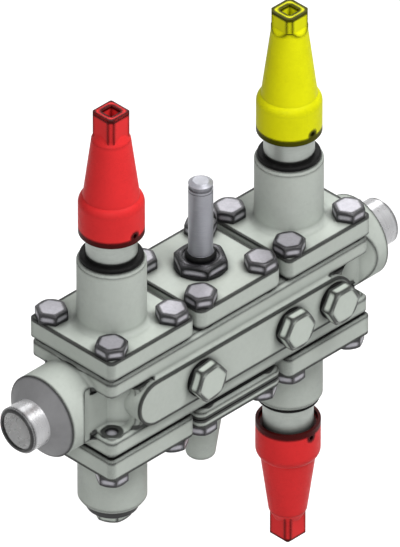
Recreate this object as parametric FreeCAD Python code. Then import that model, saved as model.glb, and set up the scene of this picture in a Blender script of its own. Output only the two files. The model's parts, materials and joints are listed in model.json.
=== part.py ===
import FreeCAD, Part
import math
import os

# Valve station for a refrigerant line: one cast housing with three stations on top and three below.
# Top: inlet stop valve, solenoid valve, regulating valve. Below: strainer, check valve, outlet stop valve.
# X runs along the line from inlet to outlet, Z is up, -Y is the front with the side plugs.
# The origin is the centre of the inlet weld end. All sizes are in millimetres.

V = FreeCAD.Vector

# Ways of working: tools run past a face by the overcut, and points nearer than the match are the same
OVERCUT = 1.0
MATCH = 1e-6
ARC_MIDDLE = 1 - math.sqrt(0.5)
SPRING_BEND_COUNT = 12

# Line connections
PIPE_OD = 26.9
PIPE_BORE = 21.7
WELD_BEVEL = 1.4
WELD_END_LENGTH = 12.5
PIPE_CONE_LENGTH = 7.0
PORT_BOSS_DIAMETER = 47.6
PORT_BORE_DEPTH = 42.0
PORT_FOOT_FILLET = 2.0

# Housing
BOLT_SPACING = 45.4
FLANGE_EDGE_DISTANCE = 8.2
FLANGE_WIDTH = BOLT_SPACING + 2 * FLANGE_EDGE_DISTANCE
PORT_LENGTH = 40.9
END_TO_STATION = PORT_LENGTH + FLANGE_WIDTH / 2
FLANGE_THICKNESS = 11.8
FLANGE_BEVEL = 2.0
FLANGE_CORNER_RADIUS = 4.4
POCKET_HEIGHT = 26.8
WEB_WIDTH = 33.0
BODY_EDGE_DISTANCE = 3.8
BODY_WIDTH = BOLT_SPACING + 2 * BODY_EDGE_DISTANCE
CORNER_RELIEF = 14.3
POCKET_WALL_CLEARANCE = 6.5
POCKET_FILLET = 1.8
CAVITY_DIAMETER = 34.0
DIVIDER_THICKNESS = 6.0
SEAT_BORE_DIAMETER = 18.0
TRANSFER_BORE_DIAMETER = 13.0
TRANSFER_RISE = 12.0

# Front pad and its port plugs
PAD_PROJECTION = 3.6
PAD_HEIGHT = 27.0
PAD_FLANGE_FILLET = 2.0
PAD_END_FILLET = 4.6
PLUG_THREAD_DIAMETER = 16.6
PLUG_THREAD_LENGTH = 11.0
PLUG_HOLE_RUN_OUT = 1.0
PLUG_PORT_DIAMETER = 7.0
PLUG_ACROSS_FLATS = 20.4
PLUG_HEAD_HEIGHT = 6.9
PLUG_TURNS = (8.0, 0.0, 0.0)
PLUG_WASHER_DIAMETER = 21.8
PLUG_WASHER_THICKNESS = 1.7

# Covers and their bolts
GASKET_THICKNESS = 0.6
GASKET_INSET = 1.6
COVER_EDGE_DISTANCE = 8.7
COVER_WIDTH = BOLT_SPACING + 2 * COVER_EDGE_DISTANCE
COVER_THICKNESS = 12.8
COVER_CORNER_RADIUS = 3.2
COVER_BEVEL = 1.4
MIDDLE_COVER_EDGE_DISTANCE = 8.3
MIDDLE_COVER_WIDTH = BOLT_SPACING + 2 * MIDDLE_COVER_EDGE_DISTANCE
MIDDLE_COVER_CORNER_RADIUS = 4.8
COVER_GAP = 4.6
STATION_PITCH = (COVER_WIDTH + MIDDLE_COVER_WIDTH) / 2 + COVER_GAP
BOLT_DIAMETER = 10.0
BOLT_LENGTH = 24.0
BOLT_TIP_BEVEL = 1.5
BOLT_ACROSS_FLATS = 16.0
BOLT_HEAD_HEIGHT = 6.4
BOLT_HOLE_DIAMETER = 11.0
TAPPED_HOLE_RUN_OUT = 0.6
TAPPED_HOLE_OPENING = 7.4
HEX_RING_SHARE = 0.95
HEX_CHAMFER_ANGLE = 30
THREAD_CLEARANCE = 0.05

# Bonnets, glands and spindles of the two stop valves and the regulating valve
BONNET_DIAMETER = 37.6
BONNET_HEIGHT = 40.0
BONNET_FOOT_FILLET = 3.0
BONNET_TOP_BEVEL = 1.4
BONNET_TOP_BEVEL_HEIGHT = 2.1
BONNET_BORE_DIAMETER = 26.0
BONNET_BORE_DEPTH = 25.0
PACKING_BOX_DIAMETER = 18.0
PACKING_BOX_DEPTH = 10.6
PACKING_HEIGHT = 5.0
GLAND_RING_DIAMETER = 34.4
GLAND_RING_THICKNESS = 2.3
GLAND_RING_BEVEL = 0.75
NECK_DIAMETER = 27.8
NECK_HEIGHT = 27.0
NECK_BEVEL = 1.0
SPINDLE_DIAMETER = 10.0
SPINDLE_THREAD_DIAMETER = 12.0
SPINDLE_THREAD_LENGTH = 26.0
SPINDLE_THREAD_ENGAGEMENT = 8.6
SPINDLE_SQUARE = 8.0
SPINDLE_SQUARE_LENGTH = 12.0
SPINDLE_END_PROJECTION = 26.0
SPINDLE_COLLAR_DIAMETER = 13.0
SPINDLE_COLLAR_HEIGHT = 3.0
DISC_DIAMETER = 24.8
DISC_HEIGHT = 8.0
DISC_HUB_DIAMETER = 17.0
DISC_HUB_HEIGHT = 5.0
DISC_FLOOR = 1.0
SEAT_RING_DIAMETER = 23.0
SEAT_RING_BORE = 18.6
SEAT_RING_DEPTH = 2.0
SEAT_RING_STANDOUT = 1.0
RUNNING_CLEARANCE = 0.05

# Seal caps
CAP_RIM_GAP = 14.4
CAP_SKIRT_DIAMETER = 35.7
CAP_SKIRT_HEIGHT = 18.4
CAP_SHOULDER_HEIGHT = 5.0
CAP_SHOULDER_CROWN = 0.7
CAP_CONE_ROOT_DIAMETER = 30.6
CAP_HEIGHT = 76.9
CAP_MOUTH_DIAMETER = 32.4
CAP_MOUTH_DEPTH = 2.6
CAP_SEAL_THICKNESS = 1.5
CAP_CAVITY_ROOT_DIAMETER = 21.0
CAP_CAVITY_END_DIAMETER = 14.4
CAP_CAVITY_HEIGHT = 41.0
CAP_SQUARE = 16.0
CAP_SQUARE_CORNERS = 19.4
CAP_SOCKET = 7.2
CAP_SOCKET_DEPTH = 9.0
CAP_SOCKET_BEVEL = 0.5
SEAL_WIRE_HOLE = 2.6
SEAL_WIRE_HOLE_HEIGHT = 4.8
RED_CONE_END_DIAMETER = 21.2
RED_CONE_HEIGHT = 36.2
RED_NECK_HEIGHT = 5.4
RED_TOP_BEVEL = 0.8
YELLOW_CONE_END_DIAMETER = 20.0
YELLOW_CONE_HEIGHT = 41.2
YELLOW_NECK_HEIGHT = 3.0

# Strainer
DRAIN_SEAL_DIAMETER = 28.6
DRAIN_SEAL_THICKNESS = 2.0
DRAIN_FLANGE_THICKNESS = 3.7
DRAIN_FLANGE_BEVEL = 0.5
DRAIN_ACROSS_FLATS = 18.0
DRAIN_HEAD_HEIGHT = 6.4
DRAIN_THREAD_DIAMETER = 13.2
DRAIN_THREAD_LENGTH = 9.0
STRAINER_BORE_DIAMETER = 29.0
STRAINER_BORE_DEPTH = 42.0
STRAINER_DIAMETER = 24.0
STRAINER_WALL = 0.8
STRAINER_END_THICKNESS = 1.5
STRAINER_SPRING_DIAMETER = 18.0
STRAINER_SPRING_WIRE = 1.4
STRAINER_SPRING_HEIGHT = 9.0
STRAINER_SPRING_TURNS = 3

# Solenoid valve
TUBE_DIAMETER = 13.5
TUBE_ROOT_DIAMETER = 14.2
TUBE_TOP_ABOVE_COVER = 55.9
TUBE_FLANGE_DIAMETER = 20.0
TUBE_FLANGE_THICKNESS = 2.5
TUBE_CORE_LENGTH = 28.5
TUBE_BORE_DIAMETER = 11.2
TUBE_GROOVE_DEPTH = 0.9
TUBE_GROOVE_TOP = 1.9
TUBE_GROOVE_WIDTH = 2.6
TUBE_RING_BELOW_GROOVE = 1.2
TUBE_TIP_DIAMETER = 8.6
TUBE_TIP_BEVEL_HEIGHT = 1.5
TUBE_RING_GROOVE_DEPTH = 0.25
TUBE_RING_GROOVE_WIDTH = 0.5
NUT_ACROSS_FLATS = 26.0
NUT_HEIGHT = 7.5
NUT_CHAMFER_DIAMETER = 23.8
NUT_COLLAR_DIAMETER = 28.8
NUT_COLLAR_THICKNESS = 2.0
NUT_RECESS_DIAMETER = 19.4
NUT_RECESS_DEPTH = 0.8
NUT_THREAD_DIAMETER = 21.0
TUBE_SEAL_DIAMETER = 17.2
TUBE_SEAL_HEIGHT = 3.5
TUBE_SEAL_CROWN = 0.9
PILOT_LEDGE = 2.7
PILOT_ORIFICE = 2.5
ARMATURE_LENGTH = 31.5
ARMATURE_CLEARANCE = 0.08
ARMATURE_SPRING_BORE = 7.0
ARMATURE_SPRING_BORE_DEPTH = 15.0
ARMATURE_SPRING_DIAMETER = 6.0
ARMATURE_SPRING_WIRE = 0.8
ARMATURE_SPRING_TURNS = 9
PISTON_SKIRT_DIAMETER = 24.0
PISTON_SKIRT_HEIGHT = 11.5
PISTON_HEAD_HEIGHT = 4.5
PISTON_RECESS_DIAMETER = 18.0
PISTON_RECESS_DEPTH = 9.0
PISTON_SPRING_DIAMETER = 15.0
PISTON_SPRING_WIRE = 1.4
PISTON_SPRING_TURNS = 4

# Check valve
CHECK_GASKET_THICKNESS = 1.8
CHECK_PLATE_THICKNESS = 5.9
CHECK_PLATE_BEVEL = 2.05
CHECK_JOINT_THICKNESS = 0.9
CHECK_COVER_THICKNESS = 4.8
CHECK_PLATE_BORE = 25.0
CHECK_BOSS_ROOT_DIAMETER = 29.0
CHECK_BOSS_END_DIAMETER = 16.4
CHECK_BOSS_HEIGHT = 46.5
CHECK_BOSS_END_RADIUS = 2.6
CHECK_SPRING_BORE = 18.0
CHECK_SPRING_BORE_DEPTH = 26.0
CHECK_GUIDE_DEPTH = 42.0
CHECK_DISC_DIAMETER = 24.0
CHECK_DISC_THICKNESS = 5.0
CHECK_STEM_DIAMETER = 9.9
CHECK_STEM_LENGTH = 58.0
CHECK_SPRING_DIAMETER = 14.4
CHECK_SPRING_WIRE = 1.4
CHECK_SPRING_TURNS = 7

# Places that follow from the sizes
STATIONS = [END_TO_STATION + index * STATION_PITCH for index in range(3)]
LINE_LENGTH = STATIONS[0] + STATIONS[-1]
FLANGE_HALF = FLANGE_WIDTH / 2
POCKET_HALF = POCKET_HEIGHT / 2
FACE_Z = POCKET_HALF + FLANGE_THICKNESS
COVER_BASE_Z = FACE_Z + GASKET_THICKNESS
COVER_TOP_Z = COVER_BASE_Z + COVER_THICKNESS
BONNET_TOP_Z = COVER_TOP_Z + BONNET_HEIGHT
GLAND_SEAT_Z = BONNET_TOP_Z + GLAND_RING_THICKNESS
NECK_TOP_Z = GLAND_SEAT_Z + NECK_HEIGHT
CAP_RIM_Z = GLAND_SEAT_Z + CAP_RIM_GAP
CAP_TOP_Z = CAP_RIM_Z + CAP_HEIGHT
SEAT_Z = DIVIDER_THICKNESS / 2
PACKING_FLOOR_Z = BONNET_TOP_Z - PACKING_BOX_DEPTH
PACKING_TOP_Z = PACKING_FLOOR_Z + PACKING_HEIGHT
BONNET_BORE_TOP_Z = COVER_BASE_Z + BONNET_BORE_DEPTH
TUBE_SEAL_LOW_Z = COVER_TOP_Z + NUT_HEIGHT - NUT_RECESS_DEPTH
DISC_LOW_Z = SEAT_Z + SEAT_RING_STANDOUT
COLLAR_LOW_Z = DISC_LOW_Z + SEAT_RING_DEPTH + DISC_FLOOR
BOLT_HALF = BOLT_SPACING / 2
BOLT_TIP_Z = COVER_TOP_Z - BOLT_LENGTH
PAD_FACE_Y = -(FLANGE_HALF + PAD_PROJECTION)
PLUG_STATIONS = [(STATIONS[0] + STATIONS[1]) / 2, (STATIONS[1] + STATIONS[2]) / 2, STATIONS[2]]


# Basic shapes, all about the Z axis unless said otherwise

def turned(steps):
    # Each step is a (radius, height) corner, or an arc as (middle radius, middle height, radius, height).
    corners = [V(step[-2], 0, step[-1]) for step in steps]
    edges = []
    for index, step in enumerate(steps):
        start = corners[index - 1]
        if len(step) == 4:
            edges.append(Part.Arc(start, V(step[0], 0, step[1]), corners[index]).toShape())
        else:
            edges.append(Part.makeLine(start, corners[index]))
    return Part.Face(Part.Wire(edges)).revolve(V(), V(0, 0, 1), 360)


def rod(diameter, low, high):
    return Part.makeCylinder(diameter / 2, high - low, V(0, 0, low))


def tube(outer, inner, low, high):
    return rod(outer, low, high).cut(rod(inner, low, high))


def bar_between(diameter, start, end):
    along = end.sub(start)
    return Part.makeCylinder(diameter / 2, along.Length, start, along)


def prism(points, low, high):
    corners = [V(x, y, low) for x, y in points]
    face = Part.Face(Part.makePolygon(corners + corners[:1]))
    return face.extrude(V(0, 0, high - low))


def square_bar(width, low, high):
    half = width / 2
    return Part.makeBox(width, width, high - low, V(-half, -half, low))


def pyramid(low_half, low, high_half, high):
    # A square block that changes width from one height to the other.
    wires = []
    for half, height in ((low_half, low), (high_half, high)):
        turns = ((-1, -1), (1, -1), (1, 1), (-1, 1), (-1, -1))
        wires.append(Part.makePolygon([V(x * half, y * half, height) for x, y in turns]))
    return Part.makeLoft(wires, True)


def hexagon(across_flats, low, high, first_corner):
    radius = across_flats / math.sqrt(3)
    angles = [math.radians(first_corner + 60 * step) for step in range(6)]
    return prism([(radius * math.cos(angle), radius * math.sin(angle)) for angle in angles], low, high)


def hex_head(across_flats, low, high, first_corner, ring_diameter):
    # A hexagon whose outer end is turned to a ring, with the chamfer that nuts and bolts have.
    reach = across_flats / math.sqrt(3) + OVERCUT
    drop = (reach - ring_diameter / 2) * math.tan(math.radians(HEX_CHAMFER_ANGLE))
    turning = turned([(0, low), (reach, low), (reach, high - drop), (ring_diameter / 2, high), (0, high)])
    return hexagon(across_flats, low, high, first_corner).common(turning)


def upright_edges(shape):
    found = []
    for edge in shape.Edges:
        ends = [vertex.Point for vertex in edge.Vertexes]
        if len(ends) == 2 and math.hypot(ends[0].x - ends[1].x, ends[0].y - ends[1].y) < MATCH:
            found.append(edge)
    return found


def edges_at_height(shape, height):
    return [edge for edge in shape.Edges if all(abs(vertex.Z - height) < MATCH for vertex in edge.Vertexes)]


def rounded_slab(x_low, x_high, half_width, low, high, corner_radius):
    box = Part.makeBox(x_high - x_low, 2 * half_width, high - low, V(x_low, -half_width, low))
    return box.makeFillet(corner_radius, upright_edges(box))


def spring(coil_diameter, wire, low, high, turns):
    # A coil whose turns are made of short straight lengths of round wire.
    radius = (coil_diameter - wire) / 2
    bends = turns * SPRING_BEND_COUNT
    rise = (high - low - wire) / bends
    points = []
    for bend in range(bends + 1):
        angle = 2 * math.pi * bend / SPRING_BEND_COUNT
        points.append(V(radius * math.cos(angle), radius * math.sin(angle), low + wire / 2 + bend * rise))
    section = Part.Wire(Part.makeCircle(wire / 2, points[0], points[1].sub(points[0])))
    mitred = 1
    return Part.makePolygon(points).makePipeShell([section], True, False, mitred)


def at_bolts(shape):
    # Four copies on the bolt square, each turned a quarter from the last.
    copies = []
    for quarter in range(4):
        copy = shape.copy()
        copy.translate(V(-BOLT_HALF, -BOLT_HALF, 0))
        copy.rotate(V(), V(0, 0, 1), 90 * quarter)
        copies.append(copy)
    return copies


def placed(shape, station, upper):
    # Lower units are upper units turned half round the Y axis, so a hole that faces front stays in front.
    copy = shape.copy()
    if not upper:
        copy.rotate(V(), V(0, 1, 0), 180)
    copy.translate(V(STATIONS[station], 0, 0))
    return copy


def save(name, shape):
    if isinstance(shape, list):
        shape = Part.makeCompound(shape)
    shape.exportStep("parts/" + name + ".step")


# Housing

def flange():
    low = POCKET_HALF
    left = STATIONS[0] - FLANGE_HALF
    right = STATIONS[-1] + FLANGE_HALF
    slab = rounded_slab(left, right, FLANGE_HALF, low, FACE_Z, FLANGE_CORNER_RADIUS)
    edges = edges_at_height(slab, low) + edges_at_height(slab, FACE_Z)
    return slab.makeChamfer(FLANGE_BEVEL, edges)


def corner_pocket():
    # Pocket at the front inlet corner, between the flanges: web wall, then a diagonal wall behind the bolt.
    web = WEB_WIDTH / 2
    bolt_x = STATIONS[0] - BOLT_HALF
    diagonal = bolt_x - BOLT_HALF + POCKET_WALL_CLEARANCE * math.sqrt(2)
    outside = 2 * FLANGE_HALF
    plan = [(0, -web), (diagonal + web, -web), (diagonal + outside, -outside), (0, -outside)]
    shape = prism(plan, -POCKET_HALF, POCKET_HALF)
    walls = []
    for edge in shape.Edges:
        middle = edge.CenterOfMass
        if middle.x > MATCH and middle.y > MATCH - outside:
            walls.append(edge)
    return shape.makeFillet(POCKET_FILLET, walls)


def mid_body():
    end_x = STATIONS[0] - FLANGE_HALF - FLANGE_BEVEL
    half = BODY_WIDTH / 2
    shape = Part.makeBox(LINE_LENGTH - 2 * end_x, BODY_WIDTH, POCKET_HEIGHT, V(end_x, -half, -POCKET_HALF))
    pocket = corner_pocket()
    middle = V(LINE_LENGTH / 2, 0, 0)
    pockets = [pocket, pocket.mirror(middle, V(1, 0, 0))]
    pockets += [each.mirror(middle, V(0, 1, 0)) for each in pockets]
    return shape.cut(pockets)


def port_boss():
    # Weld end, cone and boss of the inlet, turned about X; its far end lies on the flange's end face.
    end_x = STATIONS[0] - FLANGE_HALF
    boss = PORT_BOSS_DIAMETER / 2
    pipe = PIPE_OD / 2
    cone_end = WELD_END_LENGTH + PIPE_CONE_LENGTH
    shape = turned([(0, 0), (pipe - WELD_BEVEL, 0), (pipe, WELD_BEVEL), (pipe, WELD_END_LENGTH),
                    (boss, cone_end), (boss, end_x), (0, end_x)])
    shape.rotate(V(), V(0, 1, 0), 90)
    web = WEB_WIDTH / 2
    relief_x = STATIONS[0] - CORNER_RELIEF * math.sqrt(2) - web
    corner = prism([(relief_x, -web), (end_x + boss, -web), (end_x + boss, -2 * boss),
                    (relief_x + web - 2 * boss, -2 * boss)], -boss, boss)
    inside = [edge for edge in upright_edges(corner)
              if abs(edge.CenterOfMass.x - relief_x) < MATCH and abs(edge.CenterOfMass.y + web) < MATCH]
    corner = corner.makeFillet(POCKET_FILLET, inside)
    return shape.cut([corner, corner.mirror(V(), V(0, 1, 0))])


def port_foot():
    # Cast fillet where the round boss meets the flanges' end face.
    boss = PORT_BOSS_DIAMETER / 2
    radius = PORT_FOOT_FILLET
    end_x = STATIONS[0] - FLANGE_HALF
    middle = radius * ARC_MIDDLE
    inside = boss - OVERCUT
    ring = turned([(inside, end_x - radius), (boss, end_x - radius),
                   (boss + middle, end_x - middle, boss + radius, end_x), (inside, end_x)])
    ring.rotate(V(), V(0, 1, 0), 90)
    low = POCKET_HALF + FLANGE_BEVEL
    high = FACE_Z - FLANGE_BEVEL
    half = FLANGE_HALF - FLANGE_CORNER_RADIUS
    upper = Part.makeBox(2 * radius, 2 * half, high - low, V(end_x - radius, -half, low))
    lower = Part.makeBox(2 * radius, 2 * half, high - low, V(end_x - radius, -half, -high))
    return [ring.common(upper), ring.common(lower)]


def pad_end_spread(end_fillet):
    # Distance along X from a rounded end's centre to the centre of the fillet at its foot.
    return math.sqrt((PAD_HEIGHT / 2 + end_fillet) ** 2 - (POCKET_HALF - end_fillet) ** 2)


def pad_end_bevels():
    # The flanges' front bevel, carried round the hollow at each foot of the pad's ends.
    spread = pad_end_spread(PAD_END_FILLET)
    rise = POCKET_HALF - PAD_END_FILLET
    start_y = FLANGE_BEVEL - FLANGE_HALF
    cones = []
    for x in (STATIONS[0] - spread, STATIONS[-1] + spread):
        for z in (-rise, rise):
            cones.append(Part.makeCone(PAD_END_FILLET, PAD_END_FILLET + FLANGE_BEVEL, FLANGE_BEVEL,
                                       V(x, start_y, z), V(0, -1, 0)))
    return cones


def pad_profile(end_fillet):
    # Outline of the pad in the XZ plane at Y = 0: rounded ends, which run out on the flanges by a fillet.
    radius = PAD_HEIGHT / 2
    left = STATIONS[0]
    right = STATIONS[-1]
    reach = radius + end_fillet
    rise = POCKET_HALF - end_fillet
    spread = pad_end_spread(end_fillet)
    touch_x = spread * radius / reach
    touch_z = rise * radius / reach
    slant = math.sqrt(0.5)
    turn = math.atan2(rise, spread) / 2 + math.pi / 4
    hollow_x = spread - end_fillet * math.cos(turn)
    hollow_z = rise + end_fillet * math.sin(turn)

    def corner(side, upright):
        base = left if side < 0 else right
        start = V(base + side * spread, 0, upright * POCKET_HALF)
        middle = V(base + side * hollow_x, 0, upright * hollow_z)
        return Part.Arc(start, middle, V(base + side * touch_x, 0, upright * touch_z))

    arcs = [corner(side, upright) for side in (-1, 1) for upright in (-1, 1)]
    edges = [arc.toShape() for arc in arcs]
    for side, base in ((-1, left), (1, right)):
        edges.append(Part.Arc(V(base + side * touch_x, 0, -touch_z), V(base + side * radius, 0, 0),
                              V(base + side * touch_x, 0, touch_z)).toShape())
    for upright in (-1, 1):
        edges.append(Part.makeLine(V(left - spread, 0, upright * POCKET_HALF),
                                   V(right + spread, 0, upright * POCKET_HALF)))
    return Part.Face(Part.Wire(Part.__sortEdges__(edges)))


def front_pad():
    radius = PAD_HEIGHT / 2
    back = -WEB_WIDTH / 2
    length = STATIONS[-1] - STATIONS[0]
    block = Part.makeBox(length, back - PAD_FACE_Y, PAD_HEIGHT, V(STATIONS[0], PAD_FACE_Y, -radius))
    ends = [Part.makeCylinder(radius, back - PAD_FACE_Y, V(x, PAD_FACE_Y, 0), V(0, 1, 0))
            for x in (STATIONS[0], STATIONS[-1])]
    root = pad_profile(PAD_END_FILLET)
    root.translate(V(0, -FLANGE_HALF, 0))
    root = root.extrude(V(0, FLANGE_HALF + back, 0)).cut(pad_end_bevels())
    fillets = [pad_flange_fillet(), pad_flange_fillet().mirror(V(), V(0, 0, 1))]
    return block.fuse(ends + [root] + fillets)


def pad_flange_fillet():
    # Cast fillet along the top of the pad, up on to the upper flange's front face.
    face_y = -FLANGE_HALF
    foot_z = PAD_HEIGHT / 2
    radius = PAD_FLANGE_FILLET
    middle = radius * ARC_MIDDLE
    corners = [V(0, face_y - radius, foot_z), V(0, face_y, foot_z + radius),
               V(0, face_y + FLANGE_BEVEL, foot_z + radius), V(0, face_y + FLANGE_BEVEL, foot_z - OVERCUT),
               V(0, face_y - radius, foot_z - OVERCUT)]
    hollow = Part.Arc(corners[0], V(0, face_y - middle, foot_z + middle), corners[1])
    edges = [hollow.toShape()]
    for start, end in zip(corners[1:], corners[2:] + corners[:1]):
        edges.append(Part.makeLine(start, end))
    strip = Part.Face(Part.Wire(edges))
    strip.translate(V(STATIONS[0], 0, 0))
    return strip.extrude(V(STATIONS[-1] - STATIONS[0], 0, 0))


def rear_bosses():
    # Bosses on the back of the body around the inner bolts, between the flanges.
    radius = FLANGE_HALF - FLANGE_BEVEL - BOLT_HALF
    bosses = []
    for first, second in zip(STATIONS, STATIONS[1:]):
        for x in (first + BOLT_HALF, second - BOLT_HALF):
            bosses.append(Part.makeCylinder(radius, POCKET_HEIGHT, V(x, BOLT_HALF, -POCKET_HALF)))
    return bosses


def tapped_holes():
    # Holes for the cover bolts, which open into the corner pockets with the diameter of the drill.
    tapped = rod(BOLT_DIAMETER, BOLT_TIP_Z - TAPPED_HOLE_RUN_OUT, FACE_Z + OVERCUT)
    return at_bolts(tapped.fuse(rod(TAPPED_HOLE_OPENING, POCKET_HALF - OVERCUT, BOLT_TIP_Z)))


def housing_cuts():
    cuts = []
    for station in STATIONS:
        upper = rod(CAVITY_DIAMETER, SEAT_Z, FACE_Z + OVERCUT)
        lower = rod(CAVITY_DIAMETER, -FACE_Z - OVERCUT, -SEAT_Z)
        seat = rod(SEAT_BORE_DIAMETER, -SEAT_Z - OVERCUT, SEAT_Z + OVERCUT)
        holes = tapped_holes()
        for hole in tapped_holes():
            holes.append(hole.mirror(V(), V(0, 0, 1)))
        for cut in [upper, lower, seat] + holes:
            cut.translate(V(station, 0, 0))
            cuts.append(cut)
    cavity = CAVITY_DIAMETER / 2
    port = bar_between(PIPE_BORE, V(-OVERCUT, 0, 0), V(PORT_BORE_DEPTH, 0, 0))
    rise = bar_between(TRANSFER_BORE_DIAMETER, V(PORT_BORE_DEPTH, 0, 0),
                       V(STATIONS[0] - cavity / 2, 0, FACE_Z / 2 + SEAT_Z))
    for shape in (port, rise):
        outlet = shape.copy()
        outlet.rotate(V(), V(0, 1, 0), 180)
        outlet.translate(V(LINE_LENGTH, 0, 0))
        cuts += [shape, outlet]
    for first, second in zip(STATIONS, STATIONS[1:]):
        inset = cavity - OVERCUT
        cuts.append(bar_between(TRANSFER_BORE_DIAMETER, V(first + inset, 0, -TRANSFER_RISE),
                                V(second - inset, 0, TRANSFER_RISE)))
    thread_end = PAD_FACE_Y + PLUG_THREAD_LENGTH + PLUG_HOLE_RUN_OUT
    for x in PLUG_STATIONS:
        cuts.append(bar_between(PLUG_THREAD_DIAMETER, V(x, PAD_FACE_Y - OVERCUT, 0), V(x, thread_end, 0)))
    for x in PLUG_STATIONS[:2]:
        cuts.append(bar_between(PLUG_PORT_DIAMETER, V(x, thread_end - OVERCUT, 0), V(x, 0, 0)))
    last = PLUG_STATIONS[2]
    cuts.append(bar_between(PLUG_PORT_DIAMETER, V(last, thread_end, 0), V(last, -cavity / 2, FACE_Z / 2)))
    return cuts


def housing():
    upper = flange()
    lower = flange()
    lower.rotate(V(), V(1, 0, 0), 180)
    inlet = port_boss()
    outlet = inlet.copy()
    outlet.rotate(V(), V(0, 0, 1), 180)
    outlet.translate(V(LINE_LENGTH, 0, 0))
    feet = port_foot()
    for foot in list(feet):
        far = foot.copy()
        far.rotate(V(), V(0, 0, 1), 180)
        far.translate(V(LINE_LENGTH, 0, 0))
        feet.append(far)
    body = mid_body().fuse([upper, lower, inlet, outlet, front_pad()] + rear_bosses() + feet)
    body = body.removeSplitter()
    return body.cut(housing_cuts())


def port_plugs():
    seat_y = PAD_FACE_Y - PLUG_WASHER_THICKNESS
    head = hex_head(PLUG_ACROSS_FLATS, 0, PLUG_HEAD_HEIGHT, 0, PLUG_ACROSS_FLATS * HEX_RING_SHARE)
    thread_low = -PLUG_WASHER_THICKNESS - PLUG_THREAD_LENGTH
    thread = rod(PLUG_THREAD_DIAMETER - 2 * THREAD_CLEARANCE, thread_low, 0)
    plug = head.fuse(thread)
    washer = tube(PLUG_WASHER_DIAMETER, PLUG_THREAD_DIAMETER, -PLUG_WASHER_THICKNESS, 0)
    plugs = []
    washers = []
    for x, turn in zip(PLUG_STATIONS, PLUG_TURNS):
        for shape, group in ((plug, plugs), (washer, washers)):
            copy = shape.copy()
            copy.rotate(V(), V(0, 0, 1), turn)
            copy.rotate(V(), V(1, 0, 0), 90)
            copy.translate(V(x, seat_y, 0))
            group.append(copy)
    return plugs, washers


# Covers

def cover_bolts():
    # A pair with flats along Y and a pair with flats along X, as the quarter turns leave them.
    head = hex_head(BOLT_ACROSS_FLATS, COVER_TOP_Z, COVER_TOP_Z + BOLT_HEAD_HEIGHT, 30,
                    BOLT_ACROSS_FLATS * HEX_RING_SHARE)
    radius = BOLT_DIAMETER / 2 - THREAD_CLEARANCE
    shank = turned([(0, BOLT_TIP_Z), (radius - BOLT_TIP_BEVEL, BOLT_TIP_Z),
                    (radius, BOLT_TIP_Z + BOLT_TIP_BEVEL), (radius, COVER_TOP_Z), (0, COVER_TOP_Z)])
    return at_bolts(head.fuse(shank))


def square_gasket(width, corner_radius, low, high, bore):
    half = width / 2
    sheet = rounded_slab(-half, half, half, low, high, corner_radius)
    return sheet.cut([rod(bore, low, high)] + at_bolts(rod(BOLT_HOLE_DIAMETER, low, high)))


def cover_gasket():
    width = COVER_WIDTH - 2 * GASKET_INSET
    return square_gasket(width, COVER_CORNER_RADIUS, FACE_Z, COVER_BASE_Z, CAVITY_DIAMETER)


def cover_plate(width, corner_radius, low, high, bevel):
    half = width / 2
    plate = rounded_slab(-half, half, half, low, high, corner_radius)
    if bevel > 0:
        plate = plate.makeChamfer(bevel, edges_at_height(plate, low))
    return plate.cut(at_bolts(rod(BOLT_HOLE_DIAMETER, low, high)))


def middle_plate(low, high, bevel):
    return cover_plate(MIDDLE_COVER_WIDTH, MIDDLE_COVER_CORNER_RADIUS, low, high, bevel)


def middle_gasket(low, high, bore):
    return square_gasket(MIDDLE_COVER_WIDTH - 2 * GASKET_INSET, MIDDLE_COVER_CORNER_RADIUS, low, high, bore)


def bonnet_cover():
    # Square flange and round bonnet cast in one piece.
    plate = cover_plate(COVER_WIDTH, COVER_CORNER_RADIUS, COVER_BASE_Z, COVER_TOP_Z, COVER_BEVEL)
    radius = BONNET_DIAMETER / 2
    fillet = BONNET_FOOT_FILLET
    middle = fillet * ARC_MIDDLE
    inside_z = COVER_TOP_Z - OVERCUT
    bonnet = turned([(0, COVER_BASE_Z), (radius, COVER_BASE_Z), (radius, inside_z),
                     (radius + fillet, inside_z), (radius + fillet, COVER_TOP_Z),
                     (radius + middle, COVER_TOP_Z + middle, radius, COVER_TOP_Z + fillet),
                     (radius, BONNET_TOP_Z - BONNET_TOP_BEVEL_HEIGHT),
                     (radius - BONNET_TOP_BEVEL, BONNET_TOP_Z), (0, BONNET_TOP_Z)])
    return plate.fuse(bonnet)


def valve_cover():
    bores = [rod(BONNET_BORE_DIAMETER, COVER_BASE_Z, BONNET_BORE_TOP_Z),
             rod(SPINDLE_THREAD_DIAMETER + 2 * RUNNING_CLEARANCE, COVER_BASE_Z, BONNET_TOP_Z),
             rod(PACKING_BOX_DIAMETER, PACKING_FLOOR_Z, BONNET_TOP_Z)]
    return bonnet_cover().cut(bores)


def spindle():
    # Collar held in the disc, rod, trapezoidal thread, rod through the gland and a square end.
    thread_top = BONNET_BORE_TOP_Z + SPINDLE_THREAD_ENGAGEMENT
    end_top = NECK_TOP_Z + SPINDLE_END_PROJECTION
    square_low = end_top - SPINDLE_SQUARE_LENGTH
    collar = rod(SPINDLE_COLLAR_DIAMETER, COLLAR_LOW_Z, COLLAR_LOW_Z + SPINDLE_COLLAR_HEIGHT)
    thread = rod(SPINDLE_THREAD_DIAMETER, thread_top - SPINDLE_THREAD_LENGTH, thread_top)
    shaft = rod(SPINDLE_DIAMETER, COLLAR_LOW_Z, square_low)
    end = rod(SPINDLE_DIAMETER, square_low, end_top).common(square_bar(SPINDLE_SQUARE, square_low, end_top))
    return collar.fuse([thread, shaft, end]).removeSplitter()


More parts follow.
